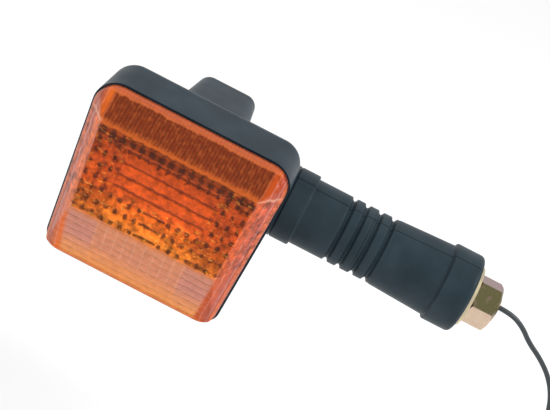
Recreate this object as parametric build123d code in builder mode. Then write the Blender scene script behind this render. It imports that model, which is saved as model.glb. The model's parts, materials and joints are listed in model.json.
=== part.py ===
"""Motorcycle turn signal indicator: an amber lens head on a ribbed rubber stem with a hollow M12 stud.

The origin is the centre of the stem's end face, on the stud's axis. +X runs along the stud, away from
the head, the lens faces -Y and +Z is up as installed. All dimensions are in millimetres.
"""

import os
from math import cos, pi, radians, sin, tan

from build123d import *

os.makedirs("parts", exist_ok=True)

# Head: a tapering box, wider at the top, with a lens over its open front
HEAD_X = -114.0
HEAD_Z = -4.3
HEAD_TOP_WIDTH = 75.6
HEAD_BOTTOM_WIDTH = 69.0
HEAD_HEIGHT = 71.4
TOP_CORNER = 9.5
BOTTOM_CORNER = 7.0
RIM_Y = -38.0
BACK_Y = -13.0
WALL = 2.4
BAND_TAPER = 1.5
BACK_ROUND = 6.0
LEDGE_Y = -32.6
LEDGE_DEPTH = 2.0
LEDGE_WIDTH = 2.2
MIN_CORNER = 2.0
# How far a boss or pad runs into the wall it stands on
BITE = 0.2
DRAIN_R = 1.5
DRAIN_Y = -24.0

# Hump: the deep box behind the head that holds the bulb socket
HUMP_Z = 3.0
HUMP_WIDTH = 29.0
HUMP_HEIGHT = 51.0
HUMP_CORNER = 7.5
HUMP_TAPER = 5.5
HUMP_REAR_Y = 16.0
HUMP_ROUND = 4.0
HUMP_WALL = 1.8
HUMP_SINK = 4.0

# Neck: the tube at the side of the hump that takes the stem's spigot
NECK_R = 14.3
NECK_BORE_R = 11.2
NECK_END_X = -76.5
NECK_WALL_X = -85.5
NECK_WALL = 2.5
NECK_INNER_X = -106.0

# Lens
LENS_INSET = 0.9
LENS_BAND = 2.4
LENS_FRONT_Y = -51.0
LENS_WALL = 2.2
LENS_SIDE_SLOPE = 7.4
LENS_STEP = 0.3
LENS_FRONT_LEAN = 1.6
LENS_FRONT_CORNER = 4.5
LENS_EDGE_ROUND = 1.2
LENS_INNER_INSET = 1.6
BREAK_Z = 21.0
CHIN_Z = -13.0
SKIRT_INSET = 2.7
SKIRT_WALL = 1.8
GASKET = 1.4
# The lens's screw posts, each (X from the head's centre, Z, depth of its root in the lens)
POSTS = ((24.5, -27.0, -43.6), (-24.5, 18.0, -49.4))
POST_R = 3.6
POST_END_Y = -19.0
POST_HOLE_DEPTH = 12.0

# Screws: the lens's, the reflector's and the socket bracket's
LENS_SCREW_R = 1.4
LENS_SCREW_HOLE_R = 1.9
LENS_SCREW_BITE = 9.0
LENS_SCREW_HEAD_R = 3.1
LENS_SCREW_HEAD = 2.2
LENS_SCREW_ROUND = 0.7
RECESS_WIDTH = 3.0
RECESS_SLOT = 0.7
RECESS_DEPTH = 1.2
PAD_R = 3.0
PAD_HOLE_DEPTH = 3.6
REFLECTOR_SCREW_R = 1.1
REFLECTOR_SCREW_REACH = 3.4
REFLECTOR_SCREW_HEAD_R = 2.4
REFLECTOR_SCREW_HEAD = 1.5
BRACKET_SCREW_R = 1.2
BRACKET_SCREW_LENGTH = 9.0
BRACKET_SCREW_HEAD_R = 2.6
BRACKET_SCREW_HEAD = 1.6

# Bulb, on an axis along Y
BULB_Z = 3.0
CAP_R = 7.5
CAP_FRONT_Y = -9.5
CAP_REAR_Y = 5.5
CONTACT_Y = 7.0
GLASS_R = 12.5
GLASS_Y = -30.5
GLASS_NECK_R = 6.4
GLASS_WALL = 0.9
GLASS_SEAT = 1.0
GLASS_PINCH = 3.0
CAP_ROUND = 1.2
CONTACT_R = 2.5
CONTACT_ROUND = 0.7
SUPPORT_R = 0.35
SUPPORT_X = 2.6
FILAMENT_R = 0.4
PIN_R = 1.0
PIN_REACH = 8.5
PIN_Y = -1.0
PUSH = 1.2
TURN = 20.0

# Socket
BARREL_R = 8.6
BARREL_BORE_R = 7.8
BARREL_FRONT_Y = -12.0
BARREL_REAR_Y = 12.0
BRACKET_Y = -12.8
BRACKET_THICK = 1.2
BRACKET_WIDTH = 20.6
BRACKET_END = 3.5
BRACKET_HOLE_R = 1.6
BOSS_Z = 16.6
BOSS_R = 3.2
SLOT_HALF_ANGLE = 10.0
SLOT_CLEARANCE = 0.35
SLOT_INNER_R = 6.9
SLOT_OUTER_R = 11.0
INSULATOR_Y = 10.9
INSULATOR = 1.5
INSULATOR_HOLE_R = 1.5
PLUNGER_HEAD_R = 2.9
PLUNGER_HEAD = 0.9
PLUNGER_R = 1.2
SPRING_GAP = 0.3
SPRING_R = 2.1
SPRING_WIRE_R = 0.25
SPRING_TURNS = 3
TERMINAL_ANGLE = 35.0
TERMINAL_REACH = 5.4
TERMINAL_WIDTH = 2.8
TERMINAL_LENGTH = 8.0
TERMINAL_THICK = 0.5
TERMINAL_HOLE_R = 1.7

# Reflector
REFLECTOR_HOLE_R = 13.5
REFLECTOR_WALL = 1.2
REFLECTOR_RIM_Y = -31.4
REFLECTOR_BACK_Y = -17.6
REFLECTOR_SCREW_X = 20.5
REFLECTOR_RIM_INSET = 5.0
REFLECTOR_BACK_WIDTH = 54.0
REFLECTOR_BACK_LEAN = 2.0
REFLECTOR_BACK_HALF = 20.0
REFLECTOR_BACK_CORNER = 9.0
REFLECTOR_SIDE_WALL = 1.5
REFLECTOR_SCREW_HOLE_R = 1.7
NOTCH_CLEARANCE = 0.6

# Stem: stations along X and radii
COLLAR_R = 14.3
COLLAR_END_X = -68.4
SLIM_R = 13.1
RIBS_START_X = -54.3
RIBS_END_X = -34.6
GROOVE_X = (-53.4, -48.1, -42.5, -37.1)
GROOVE_WIDTH = 1.7
GROOVE_DEPTH = 1.8
THICK_R = 13.3
FLARE_R = 14.5
FLANGE_START_X = -11.8
FLANGE_R = 15.6
FLANGE_ROUND = 1.3
FLANGE_INNER_ROUND = 0.7
FLARE_STEP_X = 1.2
FLARE_STEP_R = 0.1
STEM_BORE_R = 3.2
SPIGOT_R = 11.1

# Metal at the stem's ends
STUD_R = 5.95
STUD_BORE_R = 3.4
STUD_END_X = 12.2
STUD_CHAMFER = 0.6
STUD_INSIDE = 8.0
STUD_PLATE_R = 12.3
STUD_PLATE = 2.5
WASHER_R = 12.0
WASHER_HOLE_R = 6.4
WASHER_THICK = 1.5
WASHER_CHAMFER = 0.3
NUT_ACROSS_FLATS = 17.0
NUT_HEIGHT = 9.7
NUT_BORE_R = 6.05
NUT_ROLL = -11.0
NUT_FACE_LAND = 0.4
NUT_CONE_SLOPE = 0.58
NUT_CONE_OVER = 1.0
NUT_BORE_CHAMFER = 0.5
INSERT_R = 4.9
INSERT_CLEARANCE = 0.2
INSERT_MOUTH_X = -96.0
INSERT_PLATE_X = -84.0
INSERT_PLATE_R = 8.4
INSERT_PLATE = 2.0
INSERT_OVERLAP = 0.5
RETAINER_WASHER_R = 8.6
RETAINER_WASHER = 1.0
RETAINER_FLATS = 14.0
RETAINER_NUT = 5.0

# Lead
WIRE_R = 1.0
LIVE_Z = 1.4
EARTH_Z = -1.4
LEAD_ROUTE = [
    (12.2, 0, 1.4),
    (18.2, 0, 1.4),
    (24.4, 0.3, -1.6),
    (29.6, 0.7, -6.3),
    (36.6, 1.0, -10.4),
    (43.2, 1.2, -15.8),
    (48.6, 1.0, -23.2),
    (52.0, 0.5, -32.6),
    (53.4, 0.0, -43.6),
    (53.2, -0.6, -55.6),
    (52.2, -1.0, -68.0),
    (51.6, -1.2, -79.8),
    (51.7, -1.0, -90.6),
    (51.7, -1.0, -100.0),
]
LIVE_ROUTE = [
    (-108.6, 12.65, 10.7),
    (-106.65, 12.65, 13.49),
    (-105.4, 8.6, 13.9),
    (-105.0, 5.2, 11.2),
    (-104.0, 2.6, 7.2),
    (-101.4, 0.7, 3.4),
    (-99.2, 0.0, 1.4),
    (-96.0, 0.0, 1.4),
]
EARTH_ROUTE = [
    (-106.5, -12.8, -7.0),
    (-106.5, -10.0, -7.0),
    (-104.8, -6.6, -7.4),
    (-102.6, -3.6, -6.0),
    (-100.8, -1.2, -3.8),
    (-98.8, 0.0, -1.4),
    (-96.0, 0.0, -1.4),
]
SLEEVE_LENGTH = 17.0
SLEEVE_R = 2.9
SLEEVE_ROUND = 0.4
SLEEVE_TAIL = 4.0
SLEEVE_TAIL_R = 1.7
BULLET_R = 1.95
BULLET_BODY = 5.4
BULLET_REACH = 10.0
BULLET_WAIST = 0.45
BULLET_WAIST_LENGTH = 2.6
# The share of a route's shorter leg that a corner's arc may use
ARC_SHARE = 0.45


def front_plane(y, x=HEAD_X, z=0.0):
    """A plane that faces the lens side, at depth y, with +X to its right and +Z up."""
    return Plane(origin=(x, y, z), x_dir=(1, 0, 0), z_dir=(0, -1, 0))


def rear_plane(y, x=HEAD_X, z=0.0):
    """A plane that faces away from the lens, at depth y."""
    return Plane(origin=(x, y, z), x_dir=(-1, 0, 0), z_dir=(0, 1, 0))


def trapezoid(plane, top_width, bottom_width, low, high, top_corner, bottom_corner):
    """An upright trapezoid between heights low and high, with its corners rounded."""
    with BuildSketch(plane) as sketch:
        with BuildLine():
            Polyline(
                (-top_width / 2, high),
                (top_width / 2, high),
                (bottom_width / 2, low),
                (-bottom_width / 2, low),
                close=True,
            )
        make_face()
        fillet(sketch.vertices().sort_by(Axis.Y)[2:], top_corner)
        fillet(sketch.vertices().sort_by(Axis.Y)[:2], bottom_corner)
    return sketch.sketch


def head_outline(plane, inset):
    """The head's outline, moved inwards all round."""
    return trapezoid(
        plane,
        HEAD_TOP_WIDTH - 2 * inset,
        HEAD_BOTTOM_WIDTH - 2 * inset,
        HEAD_Z - HEAD_HEIGHT / 2 + inset,
        HEAD_Z + HEAD_HEIGHT / 2 - inset,
        max(TOP_CORNER - inset, MIN_CORNER),
        max(BOTTOM_CORNER - inset, MIN_CORNER),
    )


def hump_outline(plane, inset):
    """The hump's rounded rectangle, moved inwards all round."""
    with BuildSketch(plane) as sketch:
        RectangleRounded(HUMP_WIDTH - 2 * inset, HUMP_HEIGHT - 2 * inset, HUMP_CORNER - inset)
    return sketch.sketch


def disc(plane, radius):
    """A round face on a plane."""
    with BuildSketch(plane) as sketch:
        Circle(radius)
    return sketch.sketch


def ring(plane, outer, inner):
    """A flat ring on a plane."""
    with BuildSketch(plane) as sketch:
        Circle(outer)
        Circle(inner, mode=Mode.SUBTRACT)
    return sketch.sketch


def profile(plane, points):
    """A closed outline with straight sides."""
    with BuildSketch(plane) as sketch:
        with BuildLine():
            Polyline(*points, close=True)
        make_face()
    return sketch.sketch


def across(x, y=0.0, z=0.0):
    """A plane square to the stud's axis, facing +X."""
    return Plane(origin=(x, y, z), x_dir=(0, 1, 0), z_dir=(1, 0, 0))


def finish(part, name):
    """Label a finished piece and write it."""
    part.part.label = name
    export_step(part.part, f"parts/{name}.step")


def corner_radii(points):
    """The largest arc radius that each corner of a cord's route allows."""
    radii = []
    for before, here, after in zip(points, points[1:], points[2:]):
        run_in = Vector(*here) - Vector(*before)
        run_out = Vector(*after) - Vector(*here)
        turn = radians(run_in.get_angle(run_out))
        radii.append(ARC_SHARE * min(run_in.length, run_out.length) / tan(turn / 2))
    return radii


def cord_tube(points, radius):
    """The solid of a cord: straight runs joined by tangent arcs."""
    start = Plane(origin=points[0], z_dir=Vector(*points[1]) - Vector(*points[0]))
    with BuildPart() as tube:
        with BuildLine() as path:
            FilletPolyline(*points, radius=corner_radii(points))
        route = path.wires()[0]
        sweep(disc(start, radius), path=route)
    share = tube.part.volume / (pi * radius**2 * route.length)
    print(f"cord {route.length:.1f} mm, volume share {share:.4f}, radii", end=" ")
    print([round(r, 1) for r in corner_radii(points)])
    return tube.part


# ---------------------------------------------------------------- housing
hump_front_y = BACK_Y - HUMP_SINK
with BuildPart() as housing:
    extrude(head_outline(rear_plane(RIM_Y), 0), BACK_Y - RIM_Y, taper=BAND_TAPER)
    fillet(housing.faces().sort_by(Axis.Y)[-1].edges(), BACK_ROUND)
    extrude(hump_outline(rear_plane(hump_front_y, z=HUMP_Z), 0), HUMP_REAR_Y - hump_front_y, taper=HUMP_TAPER)
    fillet(housing.faces().sort_by(Axis.Y)[-1].edges(), HUMP_ROUND)
    extrude(disc(across(HEAD_X), NECK_R), NECK_END_X - HEAD_X)
    # the front cavity, with the ledge that the gasket sits on
    floor_y = BACK_Y - WALL
    extrude(head_outline(rear_plane(RIM_Y), WALL), floor_y - RIM_Y, taper=BAND_TAPER, mode=Mode.SUBTRACT)
    ledge_plane = rear_plane(LEDGE_Y)
    ledge = extrude(head_outline(ledge_plane, WALL / 2), LEDGE_DEPTH, mode=Mode.PRIVATE)
    ledge_hole = extrude(head_outline(ledge_plane, WALL + LEDGE_WIDTH), LEDGE_DEPTH, mode=Mode.PRIVATE)
    add(ledge - ledge_hole)
    # the hump's cavity and the neck's bores on either side of its cross wall
    extrude(
        hump_outline(rear_plane(hump_front_y, z=HUMP_Z), HUMP_WALL),
        HUMP_REAR_Y - HUMP_WALL - hump_front_y,
        taper=HUMP_TAPER,
        mode=Mode.SUBTRACT,
    )
    extrude(disc(across(NECK_WALL_X), NECK_BORE_R), NECK_END_X - NECK_WALL_X, mode=Mode.SUBTRACT)
    neck_inside_x = NECK_WALL_X - NECK_WALL
    extrude(disc(across(NECK_INNER_X), NECK_BORE_R), neck_inside_x - NECK_INNER_X, mode=Mode.SUBTRACT)
    extrude(disc(across(neck_inside_x), INSERT_R + INSERT_CLEARANCE), NECK_WALL, mode=Mode.SUBTRACT)
    # bosses for the socket bracket, from the hump's rear wall
    for boss_z in (BULB_Z - BOSS_Z, BULB_Z + BOSS_Z):
        boss_length = HUMP_REAR_Y - HUMP_WALL / 2 - BRACKET_Y
        boss_plane = rear_plane(BRACKET_Y, z=boss_z)
        extrude(disc(boss_plane, BOSS_R), boss_length)
        extrude(disc(boss_plane, BRACKET_SCREW_R), BRACKET_SCREW_LENGTH, mode=Mode.SUBTRACT)
    # pads under the reflector's screws
    for side in (-1, 1):
        pad_plane = rear_plane(REFLECTOR_BACK_Y, x=HEAD_X + side * REFLECTOR_SCREW_X, z=BULB_Z)
        extrude(disc(pad_plane, PAD_R), floor_y + BITE - REFLECTOR_BACK_Y)
        extrude(disc(pad_plane, REFLECTOR_SCREW_R), PAD_HOLE_DEPTH, mode=Mode.SUBTRACT)
    # seats and holes for the lens screws
    for post_x, post_z, _ in POSTS:
        seat_plane = rear_plane(POST_END_Y, x=HEAD_X + post_x, z=post_z)
        extrude(disc(seat_plane, POST_R), floor_y + BITE - POST_END_Y)
        extrude(disc(seat_plane, LENS_SCREW_HOLE_R), BACK_Y + 1 - POST_END_Y, mode=Mode.SUBTRACT)
    # a water drain hole through the bottom wall
    drain_plane = Plane(origin=(HEAD_X, DRAIN_Y, HEAD_Z - HEAD_HEIGHT / 2 - 1))
    extrude(disc(drain_plane, DRAIN_R), 2 * WALL, mode=Mode.SUBTRACT)
finish(housing, "housing")

# ---------------------------------------------------------------- lens
band_y = RIM_Y - LENS_BAND
front_half = HEAD_TOP_WIDTH / 2 - LENS_INSET - LENS_SIDE_SLOPE


def lens_front(plane, inset):
    """The lens's raised front face, between the break line and the chin line."""
    return trapezoid(
        plane,
        2 * (front_half - inset),
        2 * (front_half - inset - LENS_FRONT_LEAN),
        CHIN_Z + inset,
        BREAK_Z - inset,
        LENS_FRONT_CORNER,
        LENS_FRONT_CORNER,
    )


with BuildPart() as lens:
    extrude(head_outline(front_plane(RIM_Y), LENS_INSET), LENS_BAND)
    loft(
        sections=[
            head_outline(front_plane(band_y), LENS_INSET + LENS_STEP),
            lens_front(front_plane(LENS_FRONT_Y), 0),
        ]
    )
    fillet(lens.faces().sort_by(Axis.Y)[0].edges(), LENS_EDGE_ROUND)
    loft(
        sections=[
            head_outline(front_plane(RIM_Y), SKIRT_INSET + SKIRT_WALL),
            lens_front(front_plane(LENS_FRONT_Y + LENS_WALL), LENS_INNER_INSET),
        ],
        mode=Mode.SUBTRACT,
    )
    skirt_depth = LEDGE_Y - GASKET - RIM_Y
    extrude(head_outline(rear_plane(RIM_Y), SKIRT_INSET), skirt_depth)
    extrude(head_outline(rear_plane(RIM_Y), SKIRT_INSET + SKIRT_WALL), skirt_depth, mode=Mode.SUBTRACT)
    for post_x, post_z, root_y in POSTS:
        post_plane = front_plane(POST_END_Y, x=HEAD_X + post_x, z=post_z)
        extrude(disc(post_plane, POST_R), POST_END_Y - root_y)
        extrude(disc(post_plane, LENS_SCREW_R), POST_HOLE_DEPTH, mode=Mode.SUBTRACT)
finish(lens, "lens")

with BuildPart() as lens_gasket:
    extrude(head_outline(front_plane(LEDGE_Y), SKIRT_INSET), GASKET)
    extrude(head_outline(front_plane(LEDGE_Y), SKIRT_INSET + SKIRT_WALL), GASKET, mode=Mode.SUBTRACT)
finish(lens_gasket, "lens_gasket")

with BuildPart() as lens_screws:
    head_top_y = BACK_Y + LENS_SCREW_HEAD
    for post_x, post_z, _ in POSTS:
        screw_x = HEAD_X + post_x
        shank_plane = front_plane(BACK_Y, x=screw_x, z=post_z)
        extrude(disc(shank_plane, LENS_SCREW_R), BACK_Y - POST_END_Y + LENS_SCREW_BITE)
        extrude(disc(rear_plane(BACK_Y, x=screw_x, z=post_z), LENS_SCREW_HEAD_R), LENS_SCREW_HEAD)
    tops = lens_screws.faces().filter_by_position(Axis.Y, head_top_y - 0.01, head_top_y + 0.01)
    fillet(tops.edges(), LENS_SCREW_ROUND)
    for post_x, post_z, _ in POSTS:
        # the cross recess
        with BuildSketch(front_plane(head_top_y, x=HEAD_X + post_x, z=post_z)):
            Rectangle(RECESS_WIDTH, RECESS_SLOT)
            Rectangle(RECESS_SLOT, RECESS_WIDTH)
        extrude(amount=RECESS_DEPTH, mode=Mode.SUBTRACT)
finish(lens_screws, "lens_screws")

# ---------------------------------------------------------------- reflector
def reflector_back(plane, inset):
    """The reflector's outline at its back, moved inwards all round."""
    return trapezoid(
        plane,
        REFLECTOR_BACK_WIDTH - 2 * inset,
        REFLECTOR_BACK_WIDTH - REFLECTOR_BACK_LEAN - 2 * inset,
        BULB_Z - REFLECTOR_BACK_HALF + inset,
        BULB_Z + REFLECTOR_BACK_HALF - inset,
        REFLECTOR_BACK_CORNER - inset,
        REFLECTOR_BACK_CORNER - inset,
    )


with BuildPart() as reflector:
    rim_plane = front_plane(REFLECTOR_RIM_Y)
    outer_back = reflector_back(front_plane(REFLECTOR_BACK_Y), 0)
    loft(sections=[head_outline(rim_plane, REFLECTOR_RIM_INSET), outer_back])
    head_y = REFLECTOR_BACK_Y - REFLECTOR_WALL
    inner_rim = head_outline(rim_plane, REFLECTOR_RIM_INSET + REFLECTOR_WALL)
    inner_back = reflector_back(front_plane(head_y), REFLECTOR_SIDE_WALL)
    loft(sections=[inner_rim, inner_back], mode=Mode.SUBTRACT)
    # holes for the bulb, its own screws and the lens's posts
    hole_y = REFLECTOR_BACK_Y + 1
    hole_depth = 4.0
    extrude(disc(front_plane(hole_y, z=BULB_Z), REFLECTOR_HOLE_R), hole_depth, mode=Mode.SUBTRACT)
    for side in (-1, 1):
        hole_plane = front_plane(hole_y, x=HEAD_X + side * REFLECTOR_SCREW_X, z=BULB_Z)
        extrude(disc(hole_plane, REFLECTOR_SCREW_HOLE_R), hole_depth, mode=Mode.SUBTRACT)
    for post_x, post_z, _ in POSTS:
        notch_plane = front_plane(hole_y, x=HEAD_X + post_x, z=post_z)
        extrude(disc(notch_plane, POST_R + NOTCH_CLEARANCE), hole_y - RIM_Y, mode=Mode.SUBTRACT)
finish(reflector, "reflector")

with BuildPart() as reflector_screws:
    for side in (-1, 1):
        screw_x = HEAD_X + side * REFLECTOR_SCREW_X
        shank_plane = rear_plane(head_y, x=screw_x, z=BULB_Z)
        extrude(disc(shank_plane, REFLECTOR_SCREW_R), REFLECTOR_WALL + REFLECTOR_SCREW_REACH)
        extrude(disc(front_plane(head_y, x=screw_x, z=BULB_Z), REFLECTOR_SCREW_HEAD_R), REFLECTOR_SCREW_HEAD)
finish(reflector_screws, "reflector_screws")

# ---------------------------------------------------------------- bulb
def glass_form(wall, neck_end_y):
    """The outline of half the bulb's glass, moved inwards by a wall, with its neck ending at a depth."""
    radius = GLASS_R - wall
    neck = GLASS_NECK_R - wall
    front = (0, GLASS_Y - radius)
    join = (neck, GLASS_Y + (radius**2 - neck**2) ** 0.5)
    with BuildSketch(Plane(origin=(HEAD_X, 0, BULB_Z), x_dir=(1, 0, 0), z_dir=(0, 0, 1))) as sketch:
        with BuildLine():
            Polyline(front, (0, neck_end_y), (neck, neck_end_y), join)
            ThreePointArc(join, (radius, GLASS_Y), front)
        make_face()
    return sketch.sketch


bulb_axis = Axis((HEAD_X, 0, BULB_Z), (0, 1, 0))
support_y = CAP_FRONT_Y - GLASS_PINCH
with BuildPart() as bulb_glass:
    revolve(glass_form(0, CAP_FRONT_Y + GLASS_SEAT), axis=bulb_axis)
    revolve(glass_form(GLASS_WALL, support_y), axis=bulb_axis, mode=Mode.SUBTRACT)
finish(bulb_glass, "bulb_glass")

with BuildPart() as bulb_cap:
    extrude(disc(rear_plane(CAP_FRONT_Y, z=BULB_Z), CAP_R), CAP_REAR_Y - CAP_FRONT_Y)
    fillet(bulb_cap.faces().sort_by(Axis.Y)[-1].edges(), CAP_ROUND)
    extrude(disc(rear_plane(CAP_FRONT_Y, z=BULB_Z), GLASS_NECK_R), GLASS_SEAT, mode=Mode.SUBTRACT)
finish(bulb_cap, "bulb_cap")

with BuildPart() as bulb_pins:
    for side in (-1, 1):
        pin_plane = Plane(origin=(HEAD_X + side * CAP_R, PIN_Y, BULB_Z), x_dir=(0, 1, 0), z_dir=(side, 0, 0))
        extrude(disc(pin_plane, PIN_R), PIN_REACH - CAP_R)
finish(bulb_pins, "bulb_pins")

with BuildPart() as bulb_contact:
    extrude(disc(rear_plane(CAP_REAR_Y, z=BULB_Z), CONTACT_R), CONTACT_Y - CAP_REAR_Y)
    fillet(bulb_contact.faces().sort_by(Axis.Y)[-1].edges(), CONTACT_ROUND)
finish(bulb_contact, "bulb_contact")

with BuildPart() as bulb_filament:
    for side in (-1, 1):
        wire_plane = front_plane(support_y, x=HEAD_X + side * SUPPORT_X, z=BULB_Z)
        extrude(disc(wire_plane, SUPPORT_R), support_y - GLASS_Y + FILAMENT_R)
    filament_plane = Plane(origin=(HEAD_X - SUPPORT_X, GLASS_Y, BULB_Z), x_dir=(0, 1, 0), z_dir=(1, 0, 0))
    extrude(disc(filament_plane, FILAMENT_R), 2 * SUPPORT_X)
finish(bulb_filament, "bulb_filament")

# ---------------------------------------------------------------- socket
slot_front_y = PIN_Y - PIN_R - SLOT_CLEARANCE
slot_back_y = PIN_Y + PIN_R + PUSH + SLOT_CLEARANCE
slot_depth = slot_back_y - slot_front_y
slot_mouth_y = BARREL_FRONT_Y - 2.0


def slot_wedge(start_angle, end_angle):
    """A wedge across the barrel's wall, between two angles in degrees about the bulb's axis."""
    corners = []
    for radius, angle in (
        (SLOT_INNER_R, start_angle),
        (SLOT_OUTER_R, start_angle),
        (SLOT_OUTER_R, end_angle),
        (SLOT_INNER_R, end_angle),
    ):
        corners.append((radius * cos(radians(angle)), radius * sin(radians(angle))))
    return profile(front_plane(slot_back_y, z=BULB_Z), corners)


with BuildPart() as socket_barrel:
    extrude(ring(front_plane(BARREL_REAR_Y, z=BULB_Z), BARREL_R, BARREL_BORE_R), BARREL_REAR_Y - slot_mouth_y)
    # each bayonet slot: a run round the barrel where the pin rests, and an entry from the mouth
    for pin_angle in (0, 180):
        run_end = pin_angle + TURN + SLOT_HALF_ANGLE
        extrude(slot_wedge(pin_angle - SLOT_HALF_ANGLE, run_end), slot_depth, mode=Mode.SUBTRACT)
        entry_start = pin_angle + TURN - SLOT_HALF_ANGLE
        extrude(slot_wedge(entry_start, run_end), slot_back_y - slot_mouth_y + 1, mode=Mode.SUBTRACT)
finish(socket_barrel, "socket_barrel")

with BuildPart() as socket_bracket:
    with BuildSketch(front_plane(BRACKET_Y, z=BULB_Z)):
        SlotOverall(2 * (BOSS_Z + BRACKET_END), BRACKET_WIDTH, rotation=90)
        Circle(BARREL_R, mode=Mode.SUBTRACT)
        with Locations((0, BOSS_Z), (0, -BOSS_Z)):
            Circle(BRACKET_HOLE_R, mode=Mode.SUBTRACT)
    extrude(amount=BRACKET_THICK)
finish(socket_bracket, "socket_bracket")

with BuildPart() as bracket_screws:
    for screw_z in (BULB_Z - BOSS_Z, BULB_Z + BOSS_Z):
        bracket_face_y = BRACKET_Y - BRACKET_THICK
        extrude(disc(rear_plane(bracket_face_y, z=screw_z), BRACKET_SCREW_R), BRACKET_SCREW_LENGTH)
        extrude(disc(front_plane(bracket_face_y, z=screw_z), BRACKET_SCREW_HEAD_R), BRACKET_SCREW_HEAD)
finish(bracket_screws, "bracket_screws")

with BuildPart() as socket_insulator:
    extrude(ring(rear_plane(INSULATOR_Y, z=BULB_Z), BARREL_BORE_R, INSULATOR_HOLE_R), INSULATOR)
finish(socket_insulator, "socket_insulator")

terminal_y = INSULATOR_Y + INSULATOR
with BuildPart() as contact_plunger:
    extrude(disc(rear_plane(CONTACT_Y, z=BULB_Z), PLUNGER_HEAD_R), PLUNGER_HEAD)
    extrude(disc(rear_plane(CONTACT_Y, z=BULB_Z), PLUNGER_R), terminal_y + SPRING_GAP - CONTACT_Y)
finish(contact_plunger, "contact_plunger")

with BuildPart() as contact_spring:
    spring_start = CONTACT_Y + PLUNGER_HEAD + SPRING_GAP
    spring_height = INSULATOR_Y - SPRING_GAP - spring_start
    helix = Helix(
        pitch=spring_height / SPRING_TURNS,
        height=spring_height,
        radius=SPRING_R,
        center=(HEAD_X, spring_start, BULB_Z),
        direction=(0, 1, 0),
    )
    sweep(disc(Plane(origin=helix @ 0, z_dir=helix % 0), SPRING_WIRE_R), path=helix, is_frenet=True)
finish(contact_spring, "contact_spring")

with BuildPart() as contact_terminal:
    lean = radians(TERMINAL_ANGLE)
    with BuildSketch(rear_plane(terminal_y, z=BULB_Z)):
        with Locations((-TERMINAL_REACH * sin(lean), TERMINAL_REACH * cos(lean))):
            Rectangle(TERMINAL_WIDTH, TERMINAL_LENGTH, rotation=TERMINAL_ANGLE)
        Circle(TERMINAL_HOLE_R, mode=Mode.SUBTRACT)
    extrude(amount=TERMINAL_THICK)
finish(contact_terminal, "contact_terminal")

# ---------------------------------------------------------------- metal insert at the stem's head end
with BuildPart() as head_insert:
    extrude(ring(across(INSERT_PLATE_X), INSERT_PLATE_R, STEM_BORE_R), INSERT_PLATE)
    tube_length = INSERT_PLATE_X + INSERT_OVERLAP - INSERT_MOUTH_X
    extrude(ring(across(INSERT_MOUTH_X), INSERT_R, STEM_BORE_R), tube_length)
finish(head_insert, "head_insert")

with BuildPart() as retaining_nut:
    with BuildSketch(across(neck_inside_x - RETAINER_WASHER - RETAINER_NUT)):
        RegularPolygon(RETAINER_FLATS / 2, 6, major_radius=False)
        Circle(INSERT_R, mode=Mode.SUBTRACT)
    extrude(amount=RETAINER_NUT)
finish(retaining_nut, "retaining_nut")

with BuildPart() as retaining_washer:
    extrude(ring(across(neck_inside_x - RETAINER_WASHER), RETAINER_WASHER_R, INSERT_R), RETAINER_WASHER)
finish(retaining_washer, "retaining_washer")

# ---------------------------------------------------------------- rubber stem
plate_end_x = INSERT_PLATE_X + INSERT_PLATE
with BuildPart() as stem_head_end:
    revolve(
        profile(
            Plane.XY,
            [
                (plate_end_x, STEM_BORE_R),
                (RIBS_START_X, STEM_BORE_R),
                (RIBS_START_X, SLIM_R),
                (COLLAR_END_X, SLIM_R),
                (COLLAR_END_X, COLLAR_R),
                (NECK_END_X, COLLAR_R),
                (NECK_END_X, SPIGOT_R),
                (NECK_WALL_X, SPIGOT_R),
                (NECK_WALL_X, INSERT_R),
                (INSERT_PLATE_X, INSERT_R),
                (INSERT_PLATE_X, INSERT_PLATE_R),
                (plate_end_x, INSERT_PLATE_R),
            ],
        ),
        axis=Axis.X,
    )
finish(stem_head_end, "stem_head_end")


def rib_profile():
    """The ribbed length: straight, with round-bottomed grooves."""
    with BuildSketch(Plane.XY) as sketch:
        with BuildLine():
            Polyline(
                (RIBS_START_X, STEM_BORE_R),
                (RIBS_END_X, STEM_BORE_R),
                (RIBS_END_X, SLIM_R),
                (RIBS_START_X, SLIM_R),
                close=True,
            )
        make_face()
        for groove_x in GROOVE_X:
            with Locations((groove_x, SLIM_R)):
                SlotOverall(2 * GROOVE_DEPTH, GROOVE_WIDTH, rotation=90, mode=Mode.SUBTRACT)
    return sketch.sketch


with BuildPart() as stem_ribs:
    revolve(rib_profile(), axis=Axis.X)
finish(stem_ribs, "stem_ribs")

stud_start = -STUD_PLATE - STUD_INSIDE


def flange_rims(part):
    """The circles at the flange's outer radius, in order along X."""
    circles = part.edges().filter_by(GeomType.CIRCLE)
    return circles.filter_by(lambda edge: abs(edge.radius - FLANGE_R) < 0.01).sort_by(Axis.X)


with BuildPart() as stem_base:
    revolve(
        profile(
            Plane.XY,
            [
                (RIBS_END_X, STEM_BORE_R),
                (stud_start, STEM_BORE_R),
                (stud_start, STUD_R),
                (-STUD_PLATE, STUD_R),
                (-STUD_PLATE, STUD_PLATE_R),
                (0, STUD_PLATE_R),
                (0, FLANGE_R),
                (FLANGE_START_X, FLANGE_R),
                (FLANGE_START_X, FLARE_R),
                (FLANGE_START_X - FLARE_STEP_X, FLARE_R - FLARE_STEP_R),
                (RIBS_END_X, THICK_R),
            ],
        ),
        axis=Axis.X,
    )
    fillet(flange_rims(stem_base)[-1], FLANGE_ROUND)
    fillet(flange_rims(stem_base)[0], FLANGE_INNER_ROUND)
finish(stem_base, "stem_base")

# ---------------------------------------------------------------- stud, washer and nut
with BuildPart() as stud_plate:
    extrude(ring(across(-STUD_PLATE), STUD_PLATE_R, STUD_R), STUD_PLATE)
finish(stud_plate, "stud_plate")

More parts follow.
